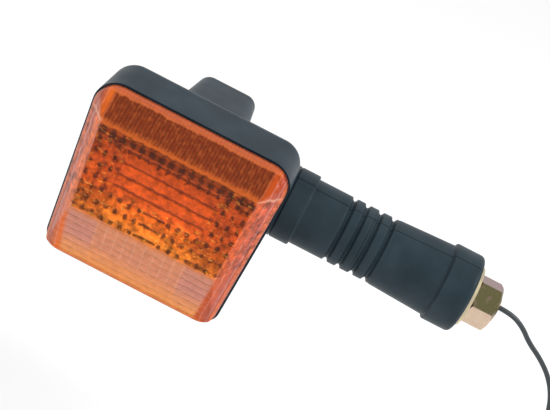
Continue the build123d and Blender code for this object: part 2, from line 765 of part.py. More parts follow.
with BuildPart() as stud:
    extrude(ring(across(stud_start), STUD_R, STUD_BORE_R), STUD_END_X - stud_start)
    chamfer(stud.faces().sort_by(Axis.X)[-1].edges().sort_by(SortBy.RADIUS)[-1], STUD_CHAMFER)
finish(stud, "stud")

with BuildPart() as washer:
    extrude(ring(across(0), WASHER_R, WASHER_HOLE_R), WASHER_THICK)
    chamfer(washer.faces().sort_by(Axis.X)[-1].edges().sort_by(SortBy.RADIUS)[-1], WASHER_CHAMFER)
finish(washer, "washer")

with BuildPart() as nut:
    with BuildSketch(across(WASHER_THICK)):
        RegularPolygon(NUT_ACROSS_FLATS / 2, 6, major_radius=False, rotation=NUT_ROLL)
    extrude(amount=NUT_HEIGHT)
    # both ends are chamfered by a cone
    land_r = NUT_ACROSS_FLATS / 2 - NUT_FACE_LAND
    cone_r = NUT_ACROSS_FLATS / 2 / cos(pi / 6) + NUT_CONE_OVER
    nut_end_x = WASHER_THICK + NUT_HEIGHT
    cone_depth = NUT_CONE_SLOPE * (cone_r - land_r)
    for end_x, inwards in ((WASHER_THICK, 1), (nut_end_x, -1)):
        outline = [(end_x, land_r), (end_x, cone_r), (end_x + inwards * cone_depth, cone_r)]
        revolve(profile(Plane.XY, outline), axis=Axis.X, mode=Mode.SUBTRACT)
    extrude(disc(across(WASHER_THICK), NUT_BORE_R), NUT_HEIGHT, mode=Mode.SUBTRACT)
    chamfer(nut.faces().sort_by(Axis.X)[-1].edges().sort_by(SortBy.RADIUS)[0], NUT_BORE_CHAMFER)
finish(nut, "nut")

# ---------------------------------------------------------------- leads inside the head and the stem
stem_runs = (
    ("stem", INSERT_MOUTH_X, RIBS_START_X),
    ("flex", RIBS_START_X, RIBS_END_X),
    ("base", RIBS_END_X, STUD_END_X),
)
for wire, wire_z in (("live", LIVE_Z), ("earth", EARTH_Z)):
    for place, start_x, end_x in stem_runs:
        # the earth lead stops at the stud's inner end, where it is crimped to it
        stop_x = min(end_x, stud_start) if wire == "earth" else end_x
        with BuildPart() as run:
            extrude(disc(across(start_x, z=wire_z), WIRE_R), stop_x - start_x)
        finish(run, f"{wire}_lead_{place}")

with BuildPart() as live_lead_head:
    add(cord_tube(LIVE_ROUTE, WIRE_R))
finish(live_lead_head, "live_lead_head")

with BuildPart() as earth_lead_head:
    add(cord_tube(EARTH_ROUTE, WIRE_R))
finish(earth_lead_head, "earth_lead_head")

# ---------------------------------------------------------------- lead outside, with its bullet connector
with BuildPart() as lead:
    add(cord_tube(LEAD_ROUTE, WIRE_R))
finish(lead, "lead")

lead_end = Vector(*LEAD_ROUTE[-1])
end_plane = Plane(origin=lead_end, z_dir=lead_end - Vector(*LEAD_ROUTE[-2]))
with BuildPart() as connector_sleeve:
    extrude(disc(end_plane, SLEEVE_TAIL_R), SLEEVE_TAIL)
    extrude(disc(end_plane.offset(SLEEVE_TAIL), SLEEVE_R), SLEEVE_LENGTH - SLEEVE_TAIL)
    circles = connector_sleeve.edges().filter_by(GeomType.CIRCLE)
    fillet(circles.filter_by(lambda edge: abs(edge.radius - SLEEVE_R) < 0.01), SLEEVE_ROUND)
finish(connector_sleeve, "connector_sleeve")

with BuildPart() as bullet_connector:
    extrude(disc(end_plane.offset(SLEEVE_LENGTH), BULLET_R), BULLET_BODY)
    waist_plane = end_plane.offset(SLEEVE_LENGTH + BULLET_BODY)
    extrude(disc(waist_plane, BULLET_R - BULLET_WAIST), BULLET_WAIST_LENGTH)
    with Locations(end_plane.offset(SLEEVE_LENGTH + BULLET_REACH - BULLET_R)):
        Sphere(BULLET_R)
finish(bullet_connector, "bullet_connector")
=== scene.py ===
"""Looks for the turn signal indicator: camera, light, materials and detailed pieces around the CAD frame."""

import json
from math import cos, hypot, pi, radians, sin, sqrt
from types import SimpleNamespace

import bmesh
import bpy
from mathutils import Matrix, Vector

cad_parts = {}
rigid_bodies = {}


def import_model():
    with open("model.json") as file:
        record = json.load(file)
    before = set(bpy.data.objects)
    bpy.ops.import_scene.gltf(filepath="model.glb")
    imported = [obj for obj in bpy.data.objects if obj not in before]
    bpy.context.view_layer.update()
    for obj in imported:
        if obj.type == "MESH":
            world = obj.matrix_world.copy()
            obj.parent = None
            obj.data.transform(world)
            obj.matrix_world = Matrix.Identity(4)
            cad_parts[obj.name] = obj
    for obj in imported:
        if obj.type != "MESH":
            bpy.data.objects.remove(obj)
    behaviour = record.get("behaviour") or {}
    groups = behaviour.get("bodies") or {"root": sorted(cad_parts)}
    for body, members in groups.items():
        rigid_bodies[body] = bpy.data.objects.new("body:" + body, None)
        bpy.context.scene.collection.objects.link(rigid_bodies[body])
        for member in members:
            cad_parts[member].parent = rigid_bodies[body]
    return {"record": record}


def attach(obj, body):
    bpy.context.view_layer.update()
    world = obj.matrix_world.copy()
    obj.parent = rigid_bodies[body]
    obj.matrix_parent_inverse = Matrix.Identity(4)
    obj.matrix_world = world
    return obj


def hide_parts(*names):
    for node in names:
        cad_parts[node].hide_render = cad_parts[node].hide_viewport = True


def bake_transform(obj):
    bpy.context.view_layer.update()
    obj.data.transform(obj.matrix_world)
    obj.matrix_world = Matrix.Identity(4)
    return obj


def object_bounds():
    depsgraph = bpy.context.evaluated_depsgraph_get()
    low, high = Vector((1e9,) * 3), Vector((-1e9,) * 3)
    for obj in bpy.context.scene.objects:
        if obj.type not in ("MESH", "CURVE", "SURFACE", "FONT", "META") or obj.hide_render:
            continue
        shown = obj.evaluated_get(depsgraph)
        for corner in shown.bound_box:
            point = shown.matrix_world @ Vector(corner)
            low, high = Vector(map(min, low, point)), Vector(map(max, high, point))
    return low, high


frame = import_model()
cad_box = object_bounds()
scene = bpy.context.scene
MM = 0.001
HEAD_X = -114.0


# ---------------------------------------------------------------- camera
def add_camera():
    """A slightly rolled view from above the lens's upper edge."""
    elevation = radians(28.0)
    roll = radians(27.3)
    distance = 0.5
    aim = Vector((-0.0792, -0.0015, -0.0027))
    back = Vector((0, -cos(elevation), sin(elevation)))
    right = Vector((1, 0, 0))
    up = Vector((0, sin(elevation), cos(elevation)))
    rolled_right = cos(roll) * right + sin(roll) * up
    rolled_up = cos(roll) * up - sin(roll) * right
    data = bpy.data.cameras.new("view")
    data.lens = 87.4
    data.sensor_width = 36.0
    camera = bpy.data.objects.new("view", data)
    scene.collection.objects.link(camera)
    axes = Matrix((rolled_right, rolled_up, back)).transposed()
    camera.matrix_world = Matrix.Translation(aim + distance * back) @ axes.to_4x4()
    scene.camera = camera


add_camera()


# ---------------------------------------------------------------- materials
def new_material(name, color, roughness, **inputs):
    """A principled material. Returns the material, its node tree and its shader."""
    material = bpy.data.materials.new(name)
    material.use_nodes = True
    tree = material.node_tree
    shader = next(n for n in tree.nodes if n.type == "BSDF_PRINCIPLED")
    shader.inputs["Base Color"].default_value = (*color, 1)
    shader.inputs["Roughness"].default_value = roughness
    for socket, value in inputs.items():
        shader.inputs[socket.replace("_", " ")].default_value = value
    return material, tree, shader


def object_coords(tree, scale=(1, 1, 1)):
    """Object coordinates in metres, scaled along each axis."""
    coords = tree.nodes.new("ShaderNodeTexCoord")
    mapping = tree.nodes.new("ShaderNodeMapping")
    mapping.inputs["Scale"].default_value = scale
    tree.links.new(coords.outputs["Object"], mapping.inputs["Vector"])
    return mapping.outputs["Vector"]


def noise(tree, vector, scale, detail=3.0, roughness=0.5):
    """A noise texture's value."""
    node = tree.nodes.new("ShaderNodeTexNoise")
    node.inputs["Scale"].default_value = scale
    node.inputs["Detail"].default_value = detail
    node.inputs["Roughness"].default_value = roughness
    tree.links.new(vector, node.inputs["Vector"])
    return node.outputs["Fac"]


def ramp(tree, value, stops):
    """A colour ramp over (position, colour) stops."""
    node = tree.nodes.new("ShaderNodeValToRGB")
    elements = node.color_ramp.elements
    while len(elements) < len(stops):
        elements.new(0.5)
    for element, (position, color) in zip(elements, stops):
        element.position = position
        element.color = (*color, 1)
    tree.links.new(value, node.inputs["Fac"])
    return node.outputs["Color"]


def value_range(tree, value, low, high):
    """A value from 0..1 mapped to low..high."""
    node = tree.nodes.new("ShaderNodeMapRange")
    node.inputs["To Min"].default_value = low
    node.inputs["To Max"].default_value = high
    tree.links.new(value, node.inputs["Value"])
    return node.outputs["Result"]


def add_bump(tree, shader, height, strength, distance):
    """Bump the shader's normal by a height value."""
    node = tree.nodes.new("ShaderNodeBump")
    node.inputs["Strength"].default_value = strength
    node.inputs["Distance"].default_value = distance
    tree.links.new(height, node.inputs["Height"])
    tree.links.new(node.outputs["Normal"], shader.inputs["Normal"])


def calc(tree, operation, first, second=None):
    """A maths node over sockets or plain numbers."""
    node = tree.nodes.new("ShaderNodeMath")
    node.operation = operation
    for socket, value in zip(node.inputs, (first, second)):
        if isinstance(value, (int, float)):
            socket.default_value = value
        elif value is not None:
            tree.links.new(value, socket)
    return node.outputs["Value"]


def rise(tree, value, low, high):
    """0 up to low and 1 from high on, smooth between."""
    node = tree.nodes.new("ShaderNodeMapRange")
    node.interpolation_type = "SMOOTHSTEP"
    node.inputs["From Min"].default_value = low
    node.inputs["From Max"].default_value = high
    tree.links.new(value, node.inputs["Value"])
    return node.outputs["Result"]


def fall(tree, value, low, high):
    """1 up to low and 0 from high on, smooth between."""
    return calc(tree, "SUBTRACT", 1.0, rise(tree, value, low, high))


def times(tree, first, second):
    """The product of two values."""
    return calc(tree, "MULTIPLY", first, second)


def blend_colors(tree, factor, first, second, kind="MIX"):
    """Two colours mixed by a factor."""
    node = tree.nodes.new("ShaderNodeMix")
    node.data_type = "RGBA"
    node.blend_type = kind
    colors = [socket for socket in node.inputs if socket.type == "RGBA"]
    tree.links.new(factor, node.inputs[0])
    for socket, value in zip(colors, (first, second)):
        if isinstance(value, tuple):
            socket.default_value = (*value, 1)
        else:
            tree.links.new(value, socket)
    return next(socket for socket in node.outputs if socket.type == "RGBA")


def groove_lines(tree, place, pitch, phase, width):
    """1 along evenly spaced lines, falling to 0 between them."""
    turns = calc(tree, "MULTIPLY", calc(tree, "ADD", place, phase), pi / pitch)
    distance = calc(tree, "ABSOLUTE", calc(tree, "SINE", turns))
    return calc(tree, "SUBTRACT", 1.0, rise(tree, distance, 0.0, width))


def moulded(name, dark, light, roughness, grain, grain_depth, **inputs):
    """A moulded plastic or rubber: fine grain, slow colour variation and uneven gloss."""
    material, tree, shader = new_material(name, dark, roughness[0], **inputs)
    where = object_coords(tree)
    slow = noise(tree, where, 60.0)
    tree.links.new(ramp(tree, slow, [(0.35, dark), (0.65, light)]), shader.inputs["Base Color"])
    patches = noise(tree, where, 180.0, 4.0)
    tree.links.new(value_range(tree, patches, *roughness), shader.inputs["Roughness"])
    add_bump(tree, shader, noise(tree, where, grain, 2.0), 0.35, grain_depth)
    return material


def metal(name, low, high, roughness):
    """A plated or bare metal with uneven tint and fine scratches."""
    material, tree, shader = new_material(name, low, roughness[0], Metallic=1.0)
    where = object_coords(tree)
    tint = noise(tree, where, 220.0, 3.0)
    tree.links.new(ramp(tree, tint, [(0.3, low), (0.7, high)]), shader.inputs["Base Color"])
    scratches = noise(tree, where, 900.0, 5.0, 0.65)
    tree.links.new(value_range(tree, scratches, *roughness), shader.inputs["Roughness"])
    add_bump(tree, shader, scratches, 0.12, 0.00005)
    return material


def zinc_with_painted_facet_light():
    """Yellow passivated zinc with painted light and shade: each facet of the nut takes a lit or shaded tint
    from the way it faces.
    """
    material, tree, shader = new_material("zinc_yellow", (0.6, 0.52, 0.35), 0.3, Metallic=1.0)
    coords = tree.nodes.new("ShaderNodeTexCoord")
    split = tree.nodes.new("ShaderNodeSeparateXYZ")
    tree.links.new(coords.outputs["Normal"], split.inputs["Vector"])
    wobble = noise(tree, coords.outputs["Object"], 260.0, 3.0)
    # painted light and shade by which way a face points, with a little random tint variation on top
    facet_light_and_wobble = calc(tree, "ADD", calc(tree, "MULTIPLY", split.outputs["Z"], 0.42), 0.35)
    facet_light_and_wobble = calc(tree, "ADD", facet_light_and_wobble, calc(tree, "MULTIPLY", wobble, 0.3))
    tint = ramp(
        tree,
        facet_light_and_wobble,
        [
            (0.30, (0.62, 0.50, 0.36)),
            (0.44, (0.56, 0.40, 0.31)),
            (0.56, (0.17, 0.14, 0.07)),
            (0.79, (0.13, 0.12, 0.055)),
            (0.86, (0.32, 0.19, 0.17)),
            (1.00, (0.32, 0.21, 0.23)),
        ],
    )
    tree.links.new(tint, shader.inputs["Base Color"])
    scratches = noise(tree, coords.outputs["Object"], 1500.0, 5.0, 0.6)
    tree.links.new(value_range(tree, scratches, 0.18, 0.42), shader.inputs["Roughness"])
    add_bump(tree, shader, scratches, 0.1, 0.00005)
    return material


DULL = {"Specular_IOR_Level": 0.15}
ABS_TINTS = ((0.006, 0.018, 0.029), (0.013, 0.029, 0.042))
ABS = moulded("abs_black", *ABS_TINTS, (0.30, 0.46), 2600.0, 0.00006, **DULL)
RUBBER_TINTS = ((0.014, 0.027, 0.036), (0.026, 0.043, 0.055))
RUBBER = moulded("stem_rubber", *RUBBER_TINTS, (0.38, 0.55), 3200.0, 0.00005, **DULL)
SEAL = moulded("seal_rubber", (0.012, 0.012, 0.012), (0.02, 0.02, 0.02), (0.6, 0.8), 2500.0, 0.00005)
PVC = moulded("wire_pvc", (0.02, 0.028, 0.032), (0.028, 0.036, 0.041), (0.3, 0.45), 1800.0, 0.00003)
PHENOLIC = moulded("phenolic", (0.16, 0.07, 0.03), (0.24, 0.11, 0.05), (0.4, 0.6), 1500.0, 0.00005)
ZINC_YELLOW = zinc_with_painted_facet_light()
PALE_ZINC = metal("zinc_pale_yellow", (0.50, 0.43, 0.28), (0.66, 0.56, 0.38), (0.3, 0.5))
ZINC = metal("zinc_bright", (0.52, 0.53, 0.56), (0.68, 0.68, 0.70), (0.22, 0.42))
BRASS = metal("brass", (0.66, 0.48, 0.19), (0.78, 0.60, 0.28), (0.18, 0.38))
TUNGSTEN = metal("tungsten", (0.26, 0.26, 0.28), (0.36, 0.36, 0.38), (0.3, 0.5))
SPRING_STEEL = metal("spring_steel", (0.42, 0.42, 0.45), (0.55, 0.55, 0.57), (0.25, 0.4))
SILVER = metal("reflector_silver", (0.82, 0.82, 0.84), (0.9, 0.9, 0.91), (0.06, 0.14))


def glass_material():
    """Clear bulb glass."""
    material, _, shader = new_material("glass_clear", (0.97, 0.98, 0.98), 0.02)
    shader.inputs["Transmission Weight"].default_value = 1.0
    shader.inputs["IOR"].default_value = 1.5
    return material


GLASS = glass_material()


# The moulded optics' pitches and phases in millimetres, for both the lens's colour and its relief.
BARS = (4.7, 12.0)
PILLOWS = (3.7, 1.85)
FLUTES = (1.27, 0.0)
CHIN_LINES = (3.4, 0.4)
CHIN_TOP = -13.5
WIDE_HALF = 16.8
LENS_TOP = 30.5
LENS_BOTTOM = -39.1


def invert(tree, value):
    """1 less a value."""
    return calc(tree, "SUBTRACT", 1.0, value)


def band(tree, value, start, full, fade, end):
    """1 from full to fade, and 0 up to start and from end on."""
    return times(tree, rise(tree, value, start, full), fall(tree, value, fade, end))


def lens_zones(tree):
    """Where a point is on the lens, in millimetres, and masks for the parts of its face."""
    zones = SimpleNamespace()
    coords = tree.nodes.new("ShaderNodeTexCoord")
    zones.object = coords.outputs["Object"]
    split = tree.nodes.new("ShaderNodeSeparateXYZ")
    tree.links.new(zones.object, split.inputs["Vector"])
    ripple = calc(tree, "SUBTRACT", noise(tree, zones.object, 420.0, 5.0, 0.65), 0.5)
    across = calc(tree, "MULTIPLY", calc(tree, "ADD", split.outputs["X"], -HEAD_X * MM), 1000.0)
    zones.across = calc(tree, "ADD", across, calc(tree, "MULTIPLY", ripple, 1.6))
    height = calc(tree, "MULTIPLY", split.outputs["Z"], 1000.0)
    zones.height = calc(tree, "ADD", height, calc(tree, "MULTIPLY", ripple, 2.2))
    edge_half = calc(tree, "ADD", calc(tree, "MULTIPLY", zones.height, 0.0474), 35.45)
    from_middle = calc(tree, "ABSOLUTE", zones.across)
    zones.inwards = calc(tree, "SUBTRACT", edge_half, from_middle)
    zones.below_break = fall(tree, zones.height, 20.6, 21.4)
    zones.on_face = times(tree, rise(tree, zones.height, -13.6, -12.4), zones.below_break)
    zones.chin = fall(tree, zones.height, CHIN_TOP - 1.0, CHIN_TOP)
    zones.sides = rise(tree, from_middle, WIDE_HALF, WIDE_HALF + 0.6)
    zones.middle = fall(tree, from_middle, WIDE_HALF, WIDE_HALF + 0.6)
    zones.block = fall(tree, from_middle, 4.0, 4.5)
    zones.lower = fall(tree, zones.height, 0.0, 1.6)
    zones.wall = fall(tree, zones.inwards, 5.6, 7.4)
    return zones


def lens_base_tint(tree, zones):
    """The colours from the chin's edge up: orange, pink, orange face, a painted highlight line at the break,
    brown flutes.
    """
    level = tree.nodes.new("ShaderNodeMapRange")
    level.inputs["From Min"].default_value = -40.0
    level.inputs["From Max"].default_value = 31.5
    tree.links.new(zones.height, level.inputs["Value"])
    face = ramp(
        tree,
        level.outputs["Result"],
        [
            (0.02, (0.88, 0.31, 0.07)),
            (0.10, (0.84, 0.30, 0.11)),
            (0.20, (0.64, 0.24, 0.17)),
            (0.35, (0.64, 0.24, 0.15)),
            (0.385, (0.88, 0.22, 0.018)),
            (0.48, (0.84, 0.15, 0.010)),
            (0.57, (0.80, 0.105, 0.010)),
            (0.72, (0.70, 0.085, 0.008)),
            (0.80, (0.50, 0.065, 0.005)),
            (0.838, (0.34, 0.045, 0.004)),
            # a painted highlight line just above the break
            (0.860, (0.62, 0.120, 0.016)),
            (0.880, (0.24, 0.034, 0.004)),
            (0.972, (0.22, 0.030, 0.003)),
            (0.988, (0.90, 0.15, 0.02)),
        ],
    )
    darker_sides = times(tree, times(tree, zones.sides, zones.on_face), 0.4)
    tint = blend_colors(tree, darker_sides, face, (0.30, 0.035, 0.003))
    streaks = noise(tree, object_coords(tree, (1.0, 1.0, 0.06)), 620.0, 1.5)
    streaks = times(tree, rise(tree, streaks, 0.40, 0.80), fall(tree, zones.below_break, 0.0, 0.1))
    return blend_colors(tree, times(tree, streaks, 0.55), tint, (0.52, 0.11, 0.02))


def lens_painted_groove_shade(tree, zones):
    """Painted shade in the grooves: how dark each groove is, between bars, pillows, flutes and the chin's
    lines, and in the first row.
    """
    middle, lower = zones.middle, zones.lower
    bars = groove_lines(tree, zones.height, *BARS, 0.62)
    columns = groove_lines(tree, zones.across, *PILLOWS, 0.9)
    dots = times(tree, groove_lines(tree, zones.height, *BARS, 1.0), columns)
    patchy = noise(tree, zones.object, 620.0, 2.0)
    dots = rise(tree, calc(tree, "ADD", dots, times(tree, patchy, 1.3)), 0.72, 1.08)
    dotted = invert(tree, times(tree, middle, fall(tree, zones.height, 13.5, 15.0)))
    beside = times(tree, times(tree, lower, middle), invert(tree, zones.block))
    first_row = band(tree, zones.height, 17.2, 18.0, 19.4, 20.2)
    row_columns = rise(tree, groove_lines(tree, zones.across, *PILLOWS, 1.45), 0.1, 0.6)
    groove_shades = [
        times(tree, times(tree, times(tree, bars, middle), invert(tree, lower)), 0.7),
        times(tree, times(tree, times(tree, bars, zones.block), lower), 0.85),
        times(tree, times(tree, times(tree, bars, zones.sides), lower), 0.35),
        times(tree, times(tree, dots, calc(tree, "MAXIMUM", dotted, beside)), 0.8),
        times(tree, first_row, calc(tree, "ADD", times(tree, row_columns, 0.6), 0.3)),
    ]
    dark = groove_shades[0]
    for mark in groove_shades[1:]:
        dark = calc(tree, "MAXIMUM", dark, mark)
    dark = times(tree, dark, zones.on_face)
    flutes = groove_lines(tree, zones.across, *FLUTES, 0.9)
    flutes = times(tree, flutes, rise(tree, zones.height, 21.5, 22.5))
    dark = calc(tree, "MAXIMUM", dark, times(tree, flutes, 0.55))
    chin_lines = times(tree, groove_lines(tree, zones.height, *CHIN_LINES, 0.5), zones.chin)
    return calc(tree, "MAXIMUM", dark, times(tree, chin_lines, 0.3))


def lens_pale_marks_and_painted_glints(tree, zones, tint):
    """A warmer middle with a pale grid on the chin, and painted highlights: bright glints between the
    pillows.
    """
    warm_chin = times(tree, zones.middle, zones.chin)
    tint = blend_colors(tree, times(tree, warm_chin, 0.35), tint, (0.85, 0.27, 0.06))
    grid = times(tree, groove_lines(tree, zones.across, *PILLOWS, 0.4), zones.chin)
    grid = times(tree, times(tree, grid, zones.middle), rise(tree, zones.height, -32.0, -24.0))
    tint = blend_colors(tree, times(tree, grid, 0.3), tint, (0.86, 0.46, 0.30))
    # painted highlights: glints on the face
    glints = rise(tree, noise(tree, object_coords(tree, (1.0, 1.0, 2.2)), 520.0, 3.0), 0.56, 0.68)
    where = calc(tree, "MAXIMUM", zones.lower, times(tree, zones.sides, 0.6))
    glints = times(tree, times(tree, glints, where), times(tree, zones.on_face, 0.6))
    return blend_colors(tree, glints, tint, (0.98, 0.36, 0.04))


def lens_edges(tree, zones, tint):
    """The sloping side walls, orange next to the face and pink towards the rim, with painted shade on the
    right wall, painted highlight lines and a painted highlight at the break, and the rim all round.
    """
    wall = zones.wall
    from_rim = rise(tree, zones.inwards, 1.8, 5.2)
    wall_tint = blend_colors(tree, from_rim, (0.46, 0.12, 0.08), (0.78, 0.14, 0.012))
    tint = blend_colors(tree, times(tree, wall, 0.9), tint, wall_tint)
    # painted shade: only the right wall is darker
    shaded_right_wall = times(tree, times(tree, rise(tree, zones.across, 20.0, 26.0), wall), 0.55)
    tint = blend_colors(tree, shaded_right_wall, tint, (0.44, 0.035, 0.006))
    # painted highlights: thin light pink lines along the walls
    wall_highlight_lines = times(tree, groove_lines(tree, zones.inwards, 2.4, 0.5, 0.5), times(tree, wall, 0.3))
    tint = blend_colors(tree, wall_highlight_lines, tint, (0.78, 0.36, 0.27))
    # painted highlight where the walls meet the break
    break_highlight = times(tree, band(tree, zones.height, 20.6, 21.2, 21.6, 22.2), wall)
    tint = blend_colors(tree, times(tree, break_highlight, 0.5), tint, (0.92, 0.48, 0.33))
    to_rim = calc(tree, "MINIMUM", zones.inwards, calc(tree, "SUBTRACT", LENS_TOP, zones.height))
    to_rim = calc(tree, "MINIMUM", to_rim, calc(tree, "ADD", zones.height, -LENS_BOTTOM))
    tint = blend_colors(tree, times(tree, fall(tree, to_rim, 1.0, 1.6), 0.6), tint, (0.80, 0.18, 0.05))
    return blend_colors(tree, times(tree, fall(tree, to_rim, 0.4, 0.8), 0.4), tint, (0.30, 0.07, 0.05))


def lens_clouds(tree, zones, tint):
    """Cloudy variation from the moulding, and painted light from the reflector behind it."""
    cloud = noise(tree, zones.object, 380.0, 5.0, 0.6)
    cloud = calc(tree, "MULTIPLY", calc(tree, "SUBTRACT", cloud, 0.5), 3.6)
    clean = times(tree, times(tree, zones.middle, invert(tree, zones.lower)), 0.45)
    strength = times(tree, calc(tree, "SUBTRACT", zones.on_face, clean), 0.75)
    cloud = times(tree, cloud, calc(tree, "ADD", strength, 0.2))
    clouds = calc(tree, "ADD", cloud, 1.0)
    shade = tree.nodes.new("ShaderNodeCombineColor")
    for socket in shade.inputs[:3]:
        tree.links.new(clouds, socket)
    whole = tree.nodes.new("ShaderNodeValue")
    whole.outputs["Value"].default_value = 1.0
    return blend_colors(tree, whole.outputs["Value"], tint, shade.outputs["Color"], "MULTIPLY")


def lens_material():
    """Amber polycarbonate with its moulded optics: brown flutes, orange bars and pillows, a pale chin, with
    painted shade in the grooves and painted highlights.
    """
    material, tree, shader = new_material("lens_amber", (0.6, 0.12, 0.02), 0.18)
    shader.inputs["IOR"].default_value = 1.5
    shader.inputs["Specular IOR Level"].default_value = 0.12
    shader.inputs["Transmission Weight"].default_value = 0.12
    zones = lens_zones(tree)
    tint = lens_base_tint(tree, zones)
    # painted shade in the lens's grooves
    tint = blend_colors(tree, lens_painted_groove_shade(tree, zones), tint, (0.06, 0.012, 0.003))
    tint = lens_pale_marks_and_painted_glints(tree, zones, tint)
    tint = lens_edges(tree, zones, tint)
    tint = lens_clouds(tree, zones, tint)
    tree.links.new(tint, shader.inputs["Base Color"])
    return material


AMBER = lens_material()

FINISHES = {
    "abs_black": ABS,
    "lens_amber": AMBER,
    "seal_rubber": SEAL,
    "reflector_silver": SILVER,
    "stem_rubber": RUBBER,
    "zinc_yellow": ZINC_YELLOW,
    "zinc_bright": ZINC,
    "brass": BRASS,
    "glass_clear": GLASS,
    "tungsten": TUNGSTEN,
    "phenolic": PHENOLIC,
    "wire_pvc": PVC,
    "spring_steel": SPRING_STEEL,
}


def dress(obj, material):
    """Give an object one material."""
    obj.data.materials.clear()
    obj.data.materials.append(material)


for part in frame["record"]["subparts"]:
    dress(bpy.data.objects[part["node"]], FINISHES[part["material_slot"]])
dress(bpy.data.objects["washer"], PALE_ZINC)


# ---------------------------------------------------------------- meshes
def add_mesh(name, vertices, faces, material, body=None):
    """A smooth-shaded mesh object, riding on a body if one is named."""
    mesh = bpy.data.meshes.new(name)
    mesh.from_pydata([tuple(v) for v in vertices], [], faces)
    mesh.validate()
    build = bmesh.new()
    build.from_mesh(mesh)
    bmesh.ops.remove_doubles(build, verts=build.verts, dist=1e-7)
    bmesh.ops.recalc_face_normals(build, faces=build.faces)
    build.to_mesh(mesh)
    build.free()
    for polygon in mesh.polygons:
        polygon.use_smooth = True
    obj = bpy.data.objects.new(name, mesh)
    scene.collection.objects.link(obj)
    dress(obj, material)
    if body:
        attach(obj, body)
    return obj


def grid_faces(rows, columns, wrap=True, start=0):
    """Quads between rows of vertices, joined round if wrap."""
    faces = []
    across = columns if wrap else columns - 1
    for i in range(rows - 1):
        for j in range(across):
            k = (j + 1) % columns
            a = start + i * columns
            faces.append((a + j, a + k, a + columns + k, a + columns + j))
    return faces


def joining_faces(first, second):
    """Quads from one closed ring of vertices to another."""
    count = len(first)
    faces = []
    for j in range(count):
        k = (j + 1) % count
        faces.append((first[j], first[k], second[k], second[j]))
    return faces


# ---------------------------------------------------------------- lead outside
LEAD_ROUTE = [
    (12.2, 0, 1.4),
    (18.2, 0, 1.4),
    (24.4, 0.3, -1.6),
    (29.6, 0.7, -6.3),
    (36.6, 1.0, -10.4),
    (43.2, 1.2, -15.8),
    (48.6, 1.0, -23.2),
    (52.0, 0.5, -32.6),
    (53.4, 0.0, -43.6),
    (53.2, -0.6, -55.6),
    (52.2, -1.0, -68.0),
    (51.6, -1.2, -79.8),
    (51.7, -1.0, -90.6),
    (51.7, -1.0, -100.0),
]
WIRE_R = 1.0 * MM


def add_lead():
    """The lead that hangs from the stud's bore."""
    curve = bpy.data.curves.new("lead_outside", "CURVE")
    curve.dimensions = "3D"
    curve.bevel_depth = WIRE_R
    curve.bevel_resolution = 6
    curve.use_fill_caps = True
    spline = curve.splines.new("NURBS")
    spline.points.add(len(LEAD_ROUTE) - 1)
    for point, (x, y, z) in zip(spline.points, LEAD_ROUTE):
        point.co = (x * MM, y * MM, z * MM, 1)
    spline.order_u = 3
    spline.use_endpoint_u = True
    spline.resolution_u = 16
    lead = bpy.data.objects.new("lead_outside", curve)
    scene.collection.objects.link(lead)
    dress(lead, PVC)
    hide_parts("lead")
    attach(lead, "mount")


add_lead()


# ---------------------------------------------------------------- rubber stem
BORE = 3.2
INSERT_HOLE_R = 4.95
INSERT_POCKET_R = 8.45
STUD_HOLE_R = 6.0
PLATE_POCKET_R = 12.35
NECK_X = -85.5
NECK_R = 11.1
COLLAR_X = -76.5
COLLAR_END_X = -68.4
COLLAR_R = 14.3
COLLAR_EDGE = 0.8
SLIM_R = 13.1
THICK_X = -34.6
THICK_R = 13.3
THICK_GROWS = 1.1
FLANGE_X = -11.8
FLANGE_R = 15.6
FLANGE_EDGE = 0.7
FLANGE_ROUND = 1.9
SEAM_ANGLE = radians(71.0)
SEAM_HALF = radians(1.3)
SEAM_DEPTH = 0.45 * MM
GROOVES = (-53.4, -48.1, -42.5, -37.1)
GROOVE_HALF = 1.15
GROOVE_DEPTH = 1.35
PIVOT_X = -44.5


def stem_angles():
    """Angles round the stem, closer together at the mould seam on each side."""
    angles = []
    count = 120
    for i in range(count):
        angles.append(2 * pi * i / count)
    for middle in (SEAM_ANGLE, SEAM_ANGLE + pi):
        for step in (-1.6, -1.0, -0.5, 0, 0.5, 1.0, 1.6):
            angles.append((middle + step * SEAM_HALF) % (2 * pi))
    return sorted(set(angles))


ANGLES = stem_angles()


def smoothstep(low, high, x):
    """0 below low, 1 above high, smooth between."""
    t = min(1.0, max(0.0, (x - low) / (high - low)))
    return t * t * (3 - 2 * t)


def edge_drop(inwards, rounding):
    """How far a rounded edge is below its flat, at a distance in from the edge."""
    short = rounding - inwards
    if short <= 0:
        return 0.0
    return rounding - sqrt(max(0.0, rounding**2 - short**2))


def stem_radius(x):
    """The stem's radius at a station, all in millimetres."""
    radius = SLIM_R
    if x < COLLAR_END_X:
        radius = COLLAR_R - edge_drop(min(x - COLLAR_X, COLLAR_END_X - x), COLLAR_EDGE)
    elif x > THICK_X:
        radius = THICK_R + THICK_GROWS * (x - THICK_X) / (FLANGE_X - THICK_X)
    if x > FLANGE_X:
        radius = FLANGE_R - edge_drop(x - FLANGE_X, FLANGE_EDGE) - edge_drop(-x, FLANGE_ROUND)
    for groove in GROOVES:
        t = abs(x - groove) / GROOVE_HALF
        if t < 1:
            radius -= GROOVE_DEPTH * (1 - t * t) ** 1.3
    return radius


def stem_stations(start, end):
    """Stations along the stem, closer where its outline turns."""
    stations = []
    x = start
    while x < end - 1e-6:
        stations.append(x)
        near = any(abs(x - groove) < 1.8 for groove in GROOVES)
        near = near or any(abs(x - step) < 1.2 for step in (COLLAR_X, COLLAR_END_X, FLANGE_X))
        near = near or x > -2.2
        x = min(end, x + (0.12 if near else 0.7))
    stations.append(end)
    return stations


